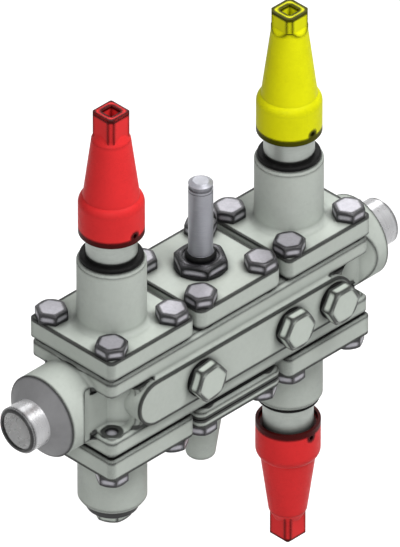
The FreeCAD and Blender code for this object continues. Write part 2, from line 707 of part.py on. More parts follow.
def valve_disc():
    body_top = DISC_LOW_Z + DISC_HEIGHT
    hub_top = body_top + DISC_HUB_HEIGHT
    body = rod(DISC_DIAMETER, DISC_LOW_Z, body_top).fuse(rod(DISC_HUB_DIAMETER, DISC_LOW_Z, hub_top))
    groove = tube(SEAT_RING_DIAMETER, SEAT_RING_BORE, DISC_LOW_Z, DISC_LOW_Z + SEAT_RING_DEPTH)
    slot = rod(SPINDLE_COLLAR_DIAMETER + 2 * RUNNING_CLEARANCE, COLLAR_LOW_Z,
               COLLAR_LOW_Z + SPINDLE_COLLAR_HEIGHT + RUNNING_CLEARANCE)
    throat = rod(SPINDLE_DIAMETER + 2 * RUNNING_CLEARANCE, COLLAR_LOW_Z, hub_top)
    return body.cut([groove, slot, throat])


def seat_ring():
    return tube(SEAT_RING_DIAMETER, SEAT_RING_BORE, SEAT_Z, DISC_LOW_Z + SEAT_RING_DEPTH)


def gland():
    # Neck that carries the cap, with a spigot down on to the packing.
    radius = NECK_DIAMETER / 2
    bore = SPINDLE_DIAMETER / 2 + RUNNING_CLEARANCE
    spigot = PACKING_BOX_DIAMETER / 2 - THREAD_CLEARANCE
    return turned([(bore, PACKING_TOP_Z), (spigot, PACKING_TOP_Z), (spigot, GLAND_SEAT_Z),
                   (radius, GLAND_SEAT_Z), (radius, NECK_TOP_Z - NECK_BEVEL),
                   (radius - NECK_BEVEL, NECK_TOP_Z), (bore, NECK_TOP_Z)])


def gland_ring():
    # Ring under the gland, with bevelled outer edges.
    outer = GLAND_RING_DIAMETER / 2
    edge = GLAND_RING_BEVEL
    bore = PACKING_BOX_DIAMETER / 2
    low = BONNET_TOP_Z
    return turned([(bore, low), (outer - edge, low), (outer, low + edge), (outer, GLAND_SEAT_Z - edge),
                   (outer - edge, GLAND_SEAT_Z), (bore, GLAND_SEAT_Z)])


def packing():
    bore = SPINDLE_DIAMETER + 2 * RUNNING_CLEARANCE
    return tube(PACKING_BOX_DIAMETER, bore, PACKING_FLOOR_Z, PACKING_TOP_Z)


def seal_cap(cone_end_diameter, cone_height, neck_height, top_bevel, round_neck):
    # Skirt, shoulder, cone and a square head with flattened corners. The neck between cone and square
    # is turned on the one style of cap and slopes flat to each side of the square on the other.
    skirt = CAP_SKIRT_DIAMETER / 2
    root = CAP_CONE_ROOT_DIAMETER / 2
    skirt_top = CAP_RIM_Z + CAP_SKIRT_HEIGHT
    root_z = skirt_top + CAP_SHOULDER_HEIGHT
    cone_end = cone_end_diameter / 2
    cone_top = root_z + cone_height
    half = CAP_SQUARE / 2
    neck_top = cone_top + neck_height
    chord = math.hypot(skirt - root, CAP_SHOULDER_HEIGHT)
    bulge_x = (skirt + root) / 2 + CAP_SHOULDER_CROWN * CAP_SHOULDER_HEIGHT / chord
    bulge_z = (skirt_top + root_z) / 2 + CAP_SHOULDER_CROWN * (skirt - root) / chord
    lower = turned([(0, CAP_RIM_Z), (skirt, CAP_RIM_Z), (skirt, skirt_top),
                    (bulge_x, bulge_z, root, root_z), (cone_end, cone_top), (0, cone_top)])
    head = square_bar(CAP_SQUARE, cone_top - OVERCUT, CAP_TOP_Z)
    if top_bevel > 0:
        head = head.makeChamfer(top_bevel, edges_at_height(head, CAP_TOP_Z))
    if round_neck:
        neck = turned([(0, cone_top), (cone_end, cone_top), (half, neck_top), (0, neck_top)])
    else:
        neck = pyramid(cone_end, cone_top, half, neck_top)
        neck = neck.common(rod(cone_end_diameter, cone_top, neck_top))
    corners = square_bar(CAP_SQUARE_CORNERS, cone_top - OVERCUT, CAP_TOP_Z)
    corners.rotate(V(), V(0, 0, 1), 45)
    head = head.common(corners)
    cavity_low = NECK_TOP_Z + CAP_SEAL_THICKNESS
    cavity = turned([(0, cavity_low), (CAP_CAVITY_ROOT_DIAMETER / 2, cavity_low),
                     (CAP_CAVITY_END_DIAMETER / 2, cavity_low + CAP_CAVITY_HEIGHT),
                     (0, cavity_low + CAP_CAVITY_HEIGHT)])
    thread = rod(NECK_DIAMETER + 2 * THREAD_CLEARANCE, CAP_RIM_Z, cavity_low)
    mouth = rod(CAP_MOUTH_DIAMETER, CAP_RIM_Z, CAP_RIM_Z + CAP_MOUTH_DEPTH)
    socket = square_bar(CAP_SOCKET, CAP_TOP_Z - CAP_SOCKET_DEPTH, CAP_TOP_Z)
    flare = CAP_SOCKET / 2 + CAP_SOCKET_BEVEL
    socket_bevel = pyramid(CAP_SOCKET / 2, CAP_TOP_Z - CAP_SOCKET_BEVEL, flare, CAP_TOP_Z)
    hole_z = CAP_RIM_Z + SEAL_WIRE_HOLE_HEIGHT
    hole_start = V(0, -skirt - OVERCUT, hole_z)
    wire_hole = bar_between(SEAL_WIRE_HOLE, hole_start, V(0, -NECK_DIAMETER / 2, hole_z))
    body = lower.fuse([neck, head])
    return body.cut([cavity, thread, mouth, socket, socket_bevel, wire_hole])


def cap_seal():
    low = NECK_TOP_Z
    return tube(NECK_DIAMETER, CAP_CAVITY_ROOT_DIAMETER, low, low + CAP_SEAL_THICKNESS)


def red_cap():
    return seal_cap(RED_CONE_END_DIAMETER, RED_CONE_HEIGHT, RED_NECK_HEIGHT, RED_TOP_BEVEL, True)


def yellow_cap():
    return seal_cap(YELLOW_CONE_END_DIAMETER, YELLOW_CONE_HEIGHT, YELLOW_NECK_HEIGHT, 0, False)


def save_valves():
    valves = (("inlet_stop", 0, True, red_cap), ("regulating", 2, True, yellow_cap),
              ("outlet_stop", 2, False, red_cap))
    for name, station, upper, cap in valves:
        pieces = {"cover": valve_cover(), "cover_gasket": cover_gasket(), "cover_bolts": cover_bolts(),
                  "gland": gland(), "gland_ring": gland_ring(), "packing": packing(), "spindle": spindle(),
                  "disc": valve_disc(), "seat_ring": seat_ring(), "cap": cap(),
                  "cap_seal": cap_seal()}
        for piece, shape in pieces.items():
            if isinstance(shape, list):
                save(name + "_" + piece, [placed(solid, station, upper) for solid in shape])
            else:
                save(name + "_" + piece, placed(shape, station, upper))


# Strainer, built upright and turned over

def save_strainer():
    bore_top = COVER_BASE_Z + STRAINER_BORE_DEPTH
    cover = bonnet_cover().cut([rod(STRAINER_BORE_DIAMETER, COVER_BASE_Z, bore_top),
                                rod(DRAIN_THREAD_DIAMETER, bore_top, BONNET_TOP_Z)])
    element_top = bore_top - STRAINER_SPRING_HEIGHT
    element = tube(STRAINER_DIAMETER, STRAINER_DIAMETER - 2 * STRAINER_WALL, SEAT_Z, element_top)
    element = element.fuse(rod(STRAINER_DIAMETER, element_top - STRAINER_END_THICKNESS, element_top))
    coil = spring(STRAINER_SPRING_DIAMETER, STRAINER_SPRING_WIRE, element_top, bore_top,
                  STRAINER_SPRING_TURNS)
    flange_low = BONNET_TOP_Z + DRAIN_SEAL_THICKNESS
    head_low = flange_low + DRAIN_FLANGE_THICKNESS
    thread_low = BONNET_TOP_Z - DRAIN_THREAD_LENGTH
    thread = rod(DRAIN_THREAD_DIAMETER - 2 * THREAD_CLEARANCE, thread_low, flange_low)
    outer = DRAIN_SEAL_DIAMETER / 2
    collar = turned([(0, flange_low), (outer, flange_low), (outer, head_low - DRAIN_FLANGE_BEVEL),
                     (outer - DRAIN_FLANGE_BEVEL, head_low), (0, head_low)])
    head = hex_head(DRAIN_ACROSS_FLATS, head_low, head_low + DRAIN_HEAD_HEIGHT, 0,
                    DRAIN_ACROSS_FLATS * HEX_RING_SHARE)
    pieces = {"strainer_cover": cover, "strainer_cover_gasket": cover_gasket(), "strainer_element": element,
              "strainer_spring": coil, "drain_plug": collar.fuse([thread, head]),
              "drain_plug_seal": tube(DRAIN_SEAL_DIAMETER, DRAIN_THREAD_DIAMETER, BONNET_TOP_Z, flange_low)}
    for name, shape in pieces.items():
        save(name, placed(shape, 0, False))
    save("strainer_cover_bolts", [placed(solid, 0, False) for solid in cover_bolts()])


# Solenoid valve

def armature_tube(ledge_z):
    # Closed tube with a welded core at the top, a flange at the foot and a groove for the coil's clip.
    radius = TUBE_DIAMETER / 2
    top = COVER_TOP_Z + TUBE_TOP_ABOVE_COVER
    groove_top = top - TUBE_GROOVE_TOP
    groove_low = groove_top - TUBE_GROOVE_WIDTH
    ring_low = groove_low - TUBE_RING_BELOW_GROOVE
    line_low = ring_low - TUBE_RING_GROOVE_WIDTH
    groove = radius - TUBE_GROOVE_DEPTH
    line = radius - TUBE_RING_GROOVE_DEPTH
    flange_top = ledge_z + TUBE_FLANGE_THICKNESS
    core_low = top - TUBE_CORE_LENGTH
    bore = TUBE_BORE_DIAMETER / 2
    foot = TUBE_FLANGE_DIAMETER / 2
    root = TUBE_ROOT_DIAMETER / 2
    root_top = TUBE_SEAL_LOW_Z + TUBE_SEAL_HEIGHT
    return turned([(bore, ledge_z), (foot, ledge_z), (foot, flange_top), (root, flange_top),
                   (root, root_top), (radius, root_top), (radius, line_low), (line, line_low),
                   (line, ring_low), (radius, ring_low), (radius, groove_low), (groove, groove_low),
                   (groove, groove_top), (radius, groove_top),
                   (radius, top - TUBE_TIP_BEVEL_HEIGHT), (TUBE_TIP_DIAMETER / 2, top), (0, top),
                   (0, core_low), (bore, core_low)])


def tube_nut(flange_top):
    # Hexagon on a round collar, with a threaded spigot down on to the tube's flange.
    top = COVER_TOP_Z + NUT_HEIGHT
    bore = TUBE_ROOT_DIAMETER + 2 * THREAD_CLEARANCE
    head = hex_head(NUT_ACROSS_FLATS, COVER_TOP_Z, top, 0, NUT_CHAMFER_DIAMETER)
    collar = rod(NUT_COLLAR_DIAMETER, COVER_TOP_Z, COVER_TOP_Z + NUT_COLLAR_THICKNESS)
    spigot = rod(NUT_THREAD_DIAMETER - 2 * THREAD_CLEARANCE, flange_top, COVER_TOP_Z)
    recess = rod(NUT_RECESS_DIAMETER, top - NUT_RECESS_DEPTH, top)
    return head.fuse([collar, spigot]).cut([rod(bore, flange_top, top), recess])


def tube_seal():
    # Soft ring that the coil sits on, round outside.
    low = TUBE_SEAL_LOW_Z
    high = low + TUBE_SEAL_HEIGHT
    inner = TUBE_ROOT_DIAMETER / 2
    outer = TUBE_SEAL_DIAMETER / 2
    side = TUBE_SEAL_DIAMETER / 2 - TUBE_SEAL_CROWN
    return turned([(inner, low), (side, low), (outer, (low + high) / 2, side, high), (inner, high)])


def save_solenoid():
    ledge_z = COVER_BASE_Z + PILOT_LEDGE
    flange_top = ledge_z + TUBE_FLANGE_THICKNESS
    plate = middle_plate(COVER_BASE_Z, COVER_TOP_Z, COVER_BEVEL)
    cover = plate.cut([rod(NUT_THREAD_DIAMETER, ledge_z, COVER_TOP_Z),
                       rod(PILOT_ORIFICE, COVER_BASE_Z, ledge_z)])
    armature_top = ledge_z + ARMATURE_LENGTH
    spring_low = armature_top - ARMATURE_SPRING_BORE_DEPTH
    armature = rod(TUBE_BORE_DIAMETER - 2 * ARMATURE_CLEARANCE, ledge_z, armature_top)
    armature = armature.cut(rod(ARMATURE_SPRING_BORE, spring_low, armature_top))
    core_low = COVER_TOP_Z + TUBE_TOP_ABOVE_COVER - TUBE_CORE_LENGTH
    armature_coil = spring(ARMATURE_SPRING_DIAMETER, ARMATURE_SPRING_WIRE, spring_low, core_low,
                           ARMATURE_SPRING_TURNS)
    head_low = SEAT_Z + PISTON_SKIRT_HEIGHT
    head_top = head_low + PISTON_HEAD_HEIGHT
    recess_low = head_top - PISTON_RECESS_DEPTH
    piston = rod(PISTON_SKIRT_DIAMETER, SEAT_Z, head_low)
    piston = piston.fuse(rod(CAVITY_DIAMETER - 2 * RUNNING_CLEARANCE, head_low, head_top))
    piston = piston.cut(rod(PISTON_RECESS_DIAMETER, recess_low, head_top))
    piston_coil = spring(PISTON_SPRING_DIAMETER, PISTON_SPRING_WIRE, recess_low, COVER_BASE_Z,
                         PISTON_SPRING_TURNS)
    pieces = {"solenoid_cover": cover,
              "solenoid_cover_gasket": middle_gasket(FACE_Z, COVER_BASE_Z, CAVITY_DIAMETER),
              "armature_tube": armature_tube(ledge_z), "tube_nut": tube_nut(flange_top),
              "tube_seal": tube_seal(), "armature": armature, "armature_spring": armature_coil,
              "main_piston": piston, "piston_spring": piston_coil}
    for name, shape in pieces.items():
        save(name, placed(shape, 1, True))
    save("solenoid_cover_bolts", [placed(solid, 1, True) for solid in cover_bolts()])


# Check valve, built upright and turned over

def check_cover(low):
    top = low + CHECK_COVER_THICKNESS
    end = top + CHECK_BOSS_HEIGHT
    root = CHECK_BOSS_ROOT_DIAMETER / 2
    tip = CHECK_BOSS_END_DIAMETER / 2
    nose = CHECK_BOSS_END_RADIUS
    bend = nose * ARC_MIDDLE
    plate = middle_plate(low, top, 0)
    boss = turned([(0, low), (root, low), (root, top), (tip, end - nose),
                   (tip - bend, end - bend, tip - nose, end), (0, end)])
    guide = rod(CHECK_STEM_DIAMETER + 2 * RUNNING_CLEARANCE, low, low + CHECK_GUIDE_DEPTH)
    return plate.fuse(boss).cut([rod(CHECK_SPRING_BORE, low, low + CHECK_SPRING_BORE_DEPTH), guide])


def save_check_valve():
    plate_low = FACE_Z + CHECK_GASKET_THICKNESS
    plate_top = plate_low + CHECK_PLATE_THICKNESS
    cover_low = plate_top + CHECK_JOINT_THICKNESS
    plate = middle_plate(plate_low, plate_top, CHECK_PLATE_BEVEL)
    plate = plate.cut(rod(CHECK_PLATE_BORE, plate_low, plate_top))
    disc_top = SEAT_Z + CHECK_DISC_THICKNESS
    disc = rod(CHECK_DISC_DIAMETER, SEAT_Z, disc_top).fuse(
        rod(CHECK_STEM_DIAMETER, SEAT_Z, disc_top + CHECK_STEM_LENGTH))
    coil = spring(CHECK_SPRING_DIAMETER, CHECK_SPRING_WIRE, disc_top, cover_low + CHECK_SPRING_BORE_DEPTH,
                  CHECK_SPRING_TURNS)
    pieces = {"check_plate": plate, "check_cover": check_cover(cover_low),
              "check_disc": disc.removeSplitter(), "check_spring": coil,
              "check_plate_gasket": middle_gasket(FACE_Z, plate_low, CAVITY_DIAMETER),
              "check_cover_gasket": middle_gasket(plate_top, cover_low, CHECK_PLATE_BORE)}
    for name, shape in pieces.items():
        save(name, placed(shape, 1, False))
    save("check_cover_bolts", [placed(solid, 1, False) for solid in cover_bolts()])


os.makedirs("parts", exist_ok=True)
save("housing", housing())
plug_solids, washer_solids = port_plugs()
save("port_plugs", plug_solids)
save("port_plug_washers", washer_solids)
save_valves()
save_strainer()
save_solenoid()
save_check_valve()
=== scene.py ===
import json
import math
import bpy
from mathutils import Matrix, Vector


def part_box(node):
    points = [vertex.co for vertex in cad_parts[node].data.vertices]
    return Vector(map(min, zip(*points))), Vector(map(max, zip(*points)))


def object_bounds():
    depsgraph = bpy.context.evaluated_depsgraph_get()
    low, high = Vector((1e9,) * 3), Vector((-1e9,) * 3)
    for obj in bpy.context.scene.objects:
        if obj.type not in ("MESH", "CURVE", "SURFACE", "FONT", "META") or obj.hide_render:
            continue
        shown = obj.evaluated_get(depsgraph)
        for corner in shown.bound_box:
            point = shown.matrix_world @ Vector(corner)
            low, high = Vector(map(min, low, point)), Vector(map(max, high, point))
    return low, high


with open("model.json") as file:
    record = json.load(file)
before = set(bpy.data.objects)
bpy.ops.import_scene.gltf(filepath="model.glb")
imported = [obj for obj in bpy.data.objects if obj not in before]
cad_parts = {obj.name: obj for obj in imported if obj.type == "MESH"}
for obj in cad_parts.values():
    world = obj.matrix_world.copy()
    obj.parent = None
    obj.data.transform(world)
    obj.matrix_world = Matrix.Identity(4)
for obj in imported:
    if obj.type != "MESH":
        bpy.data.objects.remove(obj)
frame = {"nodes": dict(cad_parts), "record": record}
cad_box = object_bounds()

# Picture and camera. The photo is a parallel view, so the camera stands well off with a long lens.
# Its aim is a little off the picture's middle pixel, where the small perspective that is left
# does least
PICTURE_HEIGHT = 547
AIM_PIXEL = (199.2, 273.1)
ORIGIN_PIXEL = (16.84, 429.8)
PIXELS_PER_METRE = 1865
AZIMUTH = math.radians(-45)
ELEVATION = math.radians(35.264)
CAMERA_DISTANCE = 9.0
CAMERA_CLIP_START = 1.0
CAMERA_CLIP_END = 10 * CAMERA_DISTANCE
SENSOR = 36.0

# Lamps: place, aim, diameter in metres and power in watts
LAMPS = {
    "top": ((0.35, -0.57, 1.2), (0.14, 0.0, 0.0), 0.8, 14.4),
    "back_right": ((0.62, 0.36, 0.5), (0.2, 0.0, 0.05), 0.35, 1.5),
    "front_left": ((-1.2, -1.0, 1.15), (0.14, 0.0, 0.0), 0.8, 14.4),
}
AMBIENT = 0.15

# Floor. Its glow to the camera rises between two distances from the object
FLOOR_GAP = 0.0003
FLOOR_HALF_WIDTH = 30.0
FLOOR_GREY = 0.66
FLOOR_ROUGHNESS = 0.9
GLOW_DISTANCES = (1.0, 4.0)
GLOW_STRENGTHS = (0.62, 0.9)

# Sizes for the finishes, in metres
HOUSING_LOW, HOUSING_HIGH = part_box("housing")
LINE_LENGTH = HOUSING_HIGH.x - HOUSING_LOW.x
WELD_END_LENGTH = 0.0125
CONE_END = 0.0195
PORT_BORE_RADIUS = 0.0112
DRAIN_HEXAGON_HEIGHT = 0.0064
BLEND_WIDTH = 0.0002

# Width of the dark band along sharp edges, in metres, and how dark it is
CAST_EDGE = 0.0021
PLUG_EDGE = 0.0024
DRAIN_EDGE = 0.0018
STEEL_EDGE = 0.0024
BOLT_EDGE = 0.0027
PAINT_EDGE = 0.0024
NUT_EDGE = 0.0036
EDGE_SHADE = 0.07
EDGE_ROUNDING = 0.0005

# The occlusion at which the dark edges and the painted shade in corners begin, and at which they are
# full
EDGE_RANGE = (0.98, 0.88)
CORNER_SHADE_RANGE = (0.93, 0.45)

# The noise values at which each effect begins, and at which it is full
NOISE_RANGE = (0.3, 0.7)
MARKS_RANGE = (0.35, 0.65)
MOTTLE_RANGE = (0.4, 0.7)
DUST_RANGE = (0.5, 0.75)
NUT_HIGHLIGHT_RANGE = (0.3, 0.5)

# Turned ends: how metallic they are, and by how much the bright ones are smoother than the coat
WELD_END_METALLIC = 0.5
CONE_METALLIC = 0.6
BRIGHT_POLISH = 0.45

# Dust on black parts: their colour times the gain, plus the dust
DUST_GAIN = 1.6
DUST = 0.003

# Frequency of steel's tool marks along each axis
EVEN_MARKS = (1, 1, 1)
TURNED_MARKS = (0.2, 0.2, 6)
MESH_MARKS = (3, 3, 3)
WELD_END_MARKS = (14, 0.35, 0.35)
STEEL_ROUGHNESS_SPREAD = 0.12

# Colours, linear
CAST = (0.51, 0.55, 0.505)
PLUG = (0.545, 0.595, 0.54)
BRIGHT_STEEL = (0.50, 0.50, 0.51)
# Near white, painted into the port bores as painted light, so their shaded insides look lit
BORE_PAINTED_LIGHT = (0.92, 0.92, 0.92)
TURNED_CONE = (0.22, 0.22, 0.225)
BOLT = (0.43, 0.42, 0.46)
GLAND = (0.42, 0.45, 0.42)
TUBE = (0.33, 0.335, 0.37)
SPINDLE = (0.50, 0.50, 0.51)
SPRING = (0.40, 0.40, 0.42)
RED = (0.80, 0.034, 0.036)
YELLOW = (0.80, 0.80, 0.006)
BLACK = (0.005, 0.005, 0.005)
BLACK_STEEL = (0.006, 0.006, 0.007)
WHITE_PLASTIC = (0.75, 0.75, 0.72)
GREY_PACKING = (0.09, 0.09, 0.09)


class Finish:
    """One procedural material: its Principled shader, and short calls for nodes that are shared."""

    def __init__(self, name, color, roughness, metallic=0.0, specular=0.5):
        self.material = bpy.data.materials.new(name)
        self.material.use_nodes = True
        self.tree = self.material.node_tree
        self.tree.nodes.clear()
        self.shader = self.add("ShaderNodeBsdfPrincipled")
        self.shader.inputs["Base Color"].default_value = (*color, 1)
        self.shader.inputs["Roughness"].default_value = roughness
        self.shader.inputs["Metallic"].default_value = metallic
        self.shader.inputs["Specular IOR Level"].default_value = specular
        output = self.add("ShaderNodeOutputMaterial")
        self.tree.links.new(self.shader.outputs["BSDF"], output.inputs["Surface"])
        self.place = self.add("ShaderNodeTexCoord").outputs["Object"]
        start = self.add("ShaderNodeRGB")
        start.outputs[0].default_value = (*color, 1)
        self.color = start.outputs[0]

    def add(self, kind, **settings):
        node = self.tree.nodes.new(kind)
        for key, value in settings.items():
            setattr(node, key, value)
        return node

    def feed(self, socket, value):
        if isinstance(value, bpy.types.NodeSocket):
            self.tree.links.new(value, socket)
        else:
            socket.default_value = value

    def math(self, operation, first, second=0.0):
        node = self.add("ShaderNodeMath", operation=operation)
        self.feed(node.inputs[0], first)
        self.feed(node.inputs[1], second)
        return node.outputs[0]

    def remap(self, value, low, high, out_low=0.0, out_high=1.0):
        node = self.add("ShaderNodeMapRange")
        for socket, number in zip(node.inputs, (value, low, high, out_low, out_high)):
            self.feed(socket, number)
        return node.outputs[0]

    def position(self):
        node = self.add("ShaderNodeSeparateXYZ")
        self.feed(node.inputs[0], self.place)
        return node.outputs

    def noise(self, size, detail=3.0, stretch=(1, 1, 1)):
        """Noise with features of that size in metres; stretch multiplies its axes' frequencies."""
        mapping = self.add("ShaderNodeMapping")
        mapping.inputs["Scale"].default_value = stretch
        self.feed(mapping.inputs["Vector"], self.place)
        node = self.add("ShaderNodeTexNoise")
        node.inputs["Scale"].default_value = 1 / size
        node.inputs["Detail"].default_value = detail
        self.feed(node.inputs["Vector"], mapping.outputs[0])
        return node.outputs["Fac"]

    def mix(self, share, first, second, blend_type="MIX"):
        node = self.add("ShaderNodeMix", data_type="RGBA", blend_type=blend_type)
        self.feed(node.inputs[0], share)
        self.feed(node.inputs[6], first)
        self.feed(node.inputs[7], second)
        return node.outputs[2]

    def paint(self, share, color):
        """Turns the colour into that one where share is 1."""
        self.color = self.mix(share, self.color, (*color, 1))

    def shade(self, share, strength):
        """Multiplies the colour by strength where share is 1."""
        grey = (strength, strength, strength, 1)
        self.color = self.mix(share, self.color, grey, "MULTIPLY")

    def mottle(self, size, strength):
        self.shade(self.remap(self.noise(size), *MOTTLE_RANGE), strength)

    def shade_corners(self, reach, strength):
        """Painted shade: darkens the colour in corners, under lips and between parts, by their
        occlusion.
        """
        node = self.add("ShaderNodeAmbientOcclusion", samples=6)
        node.inputs["Distance"].default_value = reach
        self.shade(self.remap(node.outputs["AO"], *CORNER_SHADE_RANGE), strength)

    def vary_roughness(self, noise, low, high):
        """Lets the roughness follow a noise, and gives the map that it follows."""
        rough = self.remap(noise, *NOISE_RANGE, low, high)
        self.feed(self.shader.inputs["Roughness"], rough)
        return rough

    def rounded(self):
        """The normal of a surface with slightly rounded edges."""
        node = self.add("ShaderNodeBevel", samples=4)
        node.inputs["Radius"].default_value = EDGE_ROUNDING
        return node.outputs[0]

    def edge_mask(self, reach):
        """1 along sharp outer edges, 0 on open surfaces: how near the next face is in the solid."""
        node = self.add("ShaderNodeAmbientOcclusion", samples=12, inside=True, only_local=True)
        node.inputs["Distance"].default_value = reach
        return self.remap(node.outputs["AO"], *EDGE_RANGE)

    def edges(self, reach):
        """Darkens the sharp edges, and rounds them in the shading."""
        self.shade(self.edge_mask(reach), EDGE_SHADE)
        return self.rounded()

    def relief(self, height_map, height, normal):
        node = self.add("ShaderNodeBump")
        node.inputs["Distance"].default_value = height
        node.inputs["Strength"].default_value = 1.0
        self.feed(node.inputs["Height"], height_map)
        self.feed(node.inputs["Normal"], normal)
        return node.outputs[0]

    def done(self, normal):
        self.feed(self.shader.inputs["Base Color"], self.color)
        self.feed(self.shader.inputs["Normal"], normal)
        return self.material


def cast_coat(name):
    """Matt light coat over a sand-cast skin, and the map of its roughness."""
    finish = Finish(name, CAST, roughness=0.62, specular=0.35)
    finish.mottle(size=0.018, strength=0.955)
    finish.mottle(size=0.0025, strength=0.965)
    # Painted shade in corners and between parts, by occlusion
    finish.shade_corners(reach=0.005, strength=0.10)
    rough = finish.vary_roughness(finish.noise(size=0.006), low=0.55, high=0.7)
    return finish, rough


def cast_done(finish):
    """Ends a cast coat with its dark edges and its sandy relief."""
    normal = finish.edges(CAST_EDGE)
    sand = finish.noise(size=0.0008, detail=4.0)
    return finish.done(finish.relief(sand, height=0.00004, normal=normal))


def cast_finish():
    return cast_done(cast_coat("cast_part")[0])


def housing_finish():
    """The cast coat, with bright turned weld ends, bores painted near white as painted light for
    their shaded insides, and dull turned cones.
    """
    finish, rough = cast_coat("housing")
    x, y, z = finish.position()
    middle = LINE_LENGTH / 2
    from_middle = finish.math("ABSOLUTE", finish.math("SUBTRACT", x, middle))
    from_end = finish.math("SUBTRACT", middle, from_middle)
    squares = finish.math("ADD", finish.math("MULTIPLY", y, y), finish.math("MULTIPLY", z, z))
    radius = finish.math("SQRT", squares)
    stub = finish.remap(from_end, WELD_END_LENGTH, WELD_END_LENGTH - BLEND_WIDTH)
    bore_painted_light = finish.remap(radius, PORT_BORE_RADIUS + BLEND_WIDTH / 2, PORT_BORE_RADIUS)
    cone = finish.remap(from_end, CONE_END, CONE_END - BLEND_WIDTH)
    bright = finish.math("MAXIMUM", stub, bore_painted_light)
    marks = finish.noise(size=0.004, stretch=WELD_END_MARKS)
    rings = finish.remap(marks, *MARKS_RANGE, out_low=0.82, out_high=1.0)
    turned = finish.mix(1.0, (*BRIGHT_STEEL, 1), rings, "MULTIPLY")
    finish.paint(cone, TURNED_CONE)
    finish.color = finish.mix(bright, finish.color, turned)
    # Painted light: the bores get a near-white colour so that their shaded insides look lit
    finish.paint(bore_painted_light, BORE_PAINTED_LIGHT)
    stub_metal = finish.math("MULTIPLY", finish.math("SUBTRACT", stub, bore_painted_light), WELD_END_METALLIC)
    cone_metal = finish.math("MULTIPLY", cone, CONE_METALLIC)
    metal = finish.math("MAXIMUM", stub_metal, cone_metal)
    finish.feed(finish.shader.inputs["Metallic"], metal)
    polish = finish.remap(bright, 0.0, 1.0, out_low=1.0, out_high=BRIGHT_POLISH)
    finish.feed(finish.shader.inputs["Roughness"], finish.math("MULTIPLY", rough, polish))
    return cast_done(finish)


def plug_coat(name):
    """Coated steel, smoother than the casting."""
    finish = Finish(name, PLUG, roughness=0.5)
    finish.mottle(size=0.004, strength=0.96)
    # Painted shade in corners and between parts, by occlusion
    finish.shade_corners(reach=0.003, strength=0.35)
    return finish


def plug_done(finish, edge):
    normal = finish.edges(edge)
    grain = finish.noise(size=0.0005)
    return finish.done(finish.relief(grain, height=0.00002, normal=normal))


def plug_finish():
    return plug_done(plug_coat("plug"), PLUG_EDGE)


def drain_finish():
    """The plugs' coated steel on the hexagon, and a blackened collar above it."""
    finish = plug_coat("drain_plug")
    height = finish.position()[2]
    collar_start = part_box("drain_plug")[0].z + DRAIN_HEXAGON_HEIGHT
    collar = finish.remap(height, collar_start - BLEND_WIDTH / 2, collar_start + BLEND_WIDTH / 2)
    finish.paint(collar, BLACK_STEEL)
    return plug_done(finish, DRAIN_EDGE)


def steel_finish(name, color, roughness, lines, metallic=1.0, edge=STEEL_EDGE):
    """Satin steel with fine tool marks. Without an edge width no edge darkens, as on a thin wall."""
    finish = Finish(name, color, roughness, metallic=metallic)
    marks = finish.noise(size=0.0012, detail=4.0, stretch=lines)
    finish.shade(finish.remap(marks, *MARKS_RANGE), strength=0.9)
    finish.mottle(size=0.007, strength=0.93)
    # Painted shade in corners and between parts, by occlusion
    finish.shade_corners(reach=0.003, strength=0.3)
    normal = finish.edges(edge) if edge else finish.rounded()
    spread = STEEL_ROUGHNESS_SPREAD / 2
    finish.vary_roughness(marks, roughness - spread, roughness + spread)
    return finish.done(finish.relief(marks, height=0.000012, normal=normal))


def paint_finish(name, color, specular):
    """Satin coat or plastic, with faint orange peel and darkened edges."""
    finish = Finish(name, color, roughness=0.42, specular=specular)
    finish.mottle(size=0.012, strength=0.94)
    # Painted shade in corners and between parts, by occlusion
    finish.shade_corners(reach=0.003, strength=0.25)
    normal = finish.edges(PAINT_EDGE)
    finish.vary_roughness(finish.noise(size=0.003), low=0.36, high=0.5)
    peel = finish.noise(size=0.0016, detail=2.0)
    return finish.done(finish.relief(peel, height=0.00003, normal=normal))


def black_finish(name, color, roughness):
    """Rubber, fibre or packing, black or dark grey, with a little dust."""
    finish = Finish(name, color, roughness, specular=0.08)
    dusty = tuple(DUST_GAIN * part + DUST for part in color)
    finish.paint(finish.remap(finish.noise(size=0.003, detail=5.0), *DUST_RANGE), dusty)
    grain = finish.noise(size=0.0006)
    return finish.done(finish.relief(grain, height=0.00003, normal=finish.rounded()))


def nut_finish():
    """Blackened nut, with grey patches on its flats and top ring, away from the edges, as a painted
    highlight.
    """
    finish = Finish("tube_nut", BLACK_STEEL, roughness=0.5, specular=0.25)
    open_face = finish.math("SUBTRACT", 1.0, finish.edge_mask(NUT_EDGE))
    highlight_patches = finish.remap(finish.noise(size=0.003), *NUT_HIGHLIGHT_RANGE, out_low=0.6, out_high=1.0)
    # Painted highlight: the bolt's grey, painted in patches on the open faces
    finish.paint(finish.math("MULTIPLY", open_face, highlight_patches), BOLT)
    return finish.done(finish.rounded())


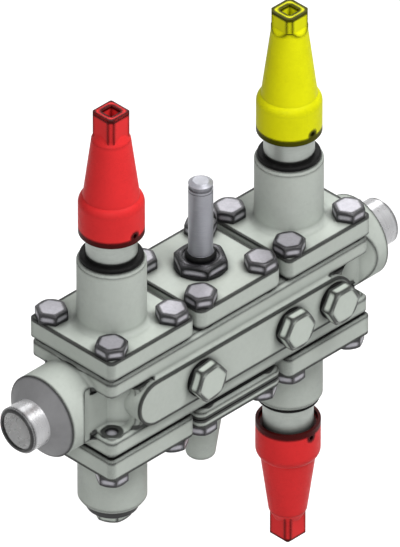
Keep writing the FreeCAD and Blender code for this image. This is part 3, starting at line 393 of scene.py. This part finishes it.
def make_finishes():
    """A finish for each material slot of the record."""
    return {
        "cast_body": cast_finish(),
        "plug_metal": plug_finish(),
        "seal_black": black_finish("seal", BLACK, 0.55),
        "gasket": black_finish("gasket", BLACK, 0.8),
        "bolt_steel": steel_finish("bolt", BOLT, 0.45, EVEN_MARKS, metallic=0.35, edge=BOLT_EDGE),
        "gland_metal": steel_finish("gland", GLAND, 0.45, TURNED_MARKS, metallic=0.6),
        "packing_ring": black_finish("packing", GREY_PACKING, 0.7),
        "spindle_steel": steel_finish("spindle", SPINDLE, 0.35, TURNED_MARKS),
        "seat_plastic": paint_finish("seat", WHITE_PLASTIC, 0.4),
        "cap_red": paint_finish("red_cap", RED, 0.06),
        "cap_yellow": paint_finish("yellow_cap", YELLOW, 0.04),
        "tube_steel": steel_finish("tube", TUBE, 0.42, TURNED_MARKS, metallic=0.35, edge=None),
        "nut_dark": nut_finish(),
        "spring_steel": steel_finish("spring", SPRING, 0.3, EVEN_MARKS),
        "strainer_mesh": steel_finish("strainer", SPINDLE, 0.4, MESH_MARKS),
    }


def dress_nodes():
    """Each node gets its slot's finish, but the housing and the drain plug have their own."""
    slots = {part["node"]: part["material_slot"] for part in frame["record"]["subparts"]}
    finishes = make_finishes()
    own = {"housing": housing_finish(), "drain_plug": drain_finish()}
    for name, node in frame["nodes"].items():
        node.data.materials.clear()
        node.data.materials.append(own.get(name, finishes[slots[name]]))


def make_camera():
    level = math.cos(ELEVATION)
    forward = Vector((-math.sin(AZIMUTH) * level, math.cos(AZIMUTH) * level, -math.sin(ELEVATION)))
    right = Vector((math.cos(AZIMUTH), math.sin(AZIMUTH), 0))
    up = right.cross(forward)
    across = (AIM_PIXEL[0] - ORIGIN_PIXEL[0]) / PIXELS_PER_METRE
    rise = (ORIGIN_PIXEL[1] - AIM_PIXEL[1]) / PIXELS_PER_METRE
    middle = (Vector(cad_box[0]) + Vector(cad_box[1])) / 2
    target = right * across + up * rise + forward * forward.dot(middle)
    turn = Matrix((right, up, -forward)).transposed().to_4x4()
    camera = bpy.data.objects.new("camera", bpy.data.cameras.new("camera"))
    bpy.context.scene.collection.objects.link(camera)
    camera.data.sensor_width = SENSOR
    camera.data.lens = SENSOR * CAMERA_DISTANCE / (PICTURE_HEIGHT / PIXELS_PER_METRE)
    camera.data.clip_start = CAMERA_CLIP_START
    camera.data.clip_end = CAMERA_CLIP_END
    camera.matrix_world = Matrix.Translation(target - forward * CAMERA_DISTANCE) @ turn
    bpy.context.scene.camera = camera


def make_lamps():
    for name, (place, aim, size, power) in LAMPS.items():
        lamp = bpy.data.objects.new(name, bpy.data.lights.new(name, "AREA"))
        bpy.context.scene.collection.objects.link(lamp)
        lamp.data.shape = "DISK"
        lamp.data.size = size
        lamp.data.energy = power
        lamp.location = place
        lamp.rotation_mode = "QUATERNION"
        lamp.rotation_quaternion = (Vector(aim) - Vector(place)).to_track_quat("-Z", "Y")
        lamp.visible_camera = False


def background_share(tree):
    """1 where the background is seen straight or in metal, 0 where it only lights the object."""
    path = tree.nodes.new("ShaderNodeLightPath")
    total = path.outputs["Is Camera Ray"]
    for kind in ("Is Glossy Ray", "Is Transmission Ray"):
        node = tree.nodes.new("ShaderNodeMath")
        node.operation = "MAXIMUM"
        tree.links.new(total, node.inputs[0])
        tree.links.new(path.outputs[kind], node.inputs[1])
        total = node.outputs[0]
    return total


def make_world():
    world = bpy.data.worlds.new("studio")
    world.use_nodes = True
    tree = world.node_tree
    strength = tree.nodes.new("ShaderNodeMapRange")
    strength.inputs["To Min"].default_value = AMBIENT
    strength.inputs["To Max"].default_value = 1.0
    tree.links.new(background_share(tree), strength.inputs["Value"])
    background = tree.nodes["Background"]
    background.inputs["Color"].default_value = (1, 1, 1, 1)
    tree.links.new(strength.outputs[0], background.inputs["Strength"])
    bpy.context.scene.world = world


def floor_material():
    """Pale and matt, and glowing to the camera so that it stays white far from the lamps."""
    material = bpy.data.materials.new("floor")
    material.use_nodes = True
    tree = material.node_tree
    shader = tree.nodes["Principled BSDF"]
    shader.inputs["Base Color"].default_value = (FLOOR_GREY, FLOOR_GREY, FLOOR_GREY, 1)
    shader.inputs["Roughness"].default_value = FLOOR_ROUGHNESS
    shader.inputs["Emission Color"].default_value = (1, 1, 1, 1)
    reach = tree.nodes.new("ShaderNodeVectorMath")
    reach.operation = "LENGTH"
    place = tree.nodes.new("ShaderNodeTexCoord").outputs["Object"]
    tree.links.new(place, reach.inputs[0])
    glow = tree.nodes.new("ShaderNodeMapRange")
    tree.links.new(reach.outputs["Value"], glow.inputs["Value"])
    for socket, number in zip(list(glow.inputs)[1:], (*GLOW_DISTANCES, *GLOW_STRENGTHS)):
        socket.default_value = number
    strength = tree.nodes.new("ShaderNodeMath")
    strength.operation = "MULTIPLY"
    tree.links.new(background_share(tree), strength.inputs[0])
    tree.links.new(glow.outputs[0], strength.inputs[1])
    tree.links.new(strength.outputs[0], shader.inputs["Emission Strength"])
    return material


def make_floor():
    """A floor just under the lowest point that the lower cap reaches when it is pulled off."""
    joints = {joint["name"]: joint for joint in frame["record"]["behaviour"]["joints"]}
    height = cad_box[0][2] - joints["outlet_stop_cap_lift"]["range_m"][1] - FLOOR_GAP
    signs = ((-1, -1), (1, -1), (1, 1), (-1, 1))
    corners = [(x * FLOOR_HALF_WIDTH, y * FLOOR_HALF_WIDTH, height) for x, y in signs]
    mesh = bpy.data.meshes.new("floor")
    mesh.from_pydata(corners, [], [(0, 1, 2, 3)])
    mesh.materials.append(floor_material())
    floor = bpy.data.objects.new("floor", mesh)
    bpy.context.scene.collection.objects.link(floor)


bpy.context.scene.view_settings.view_transform = "Standard"
make_camera()
make_world()
make_lamps()
make_floor()
dress_nodes()
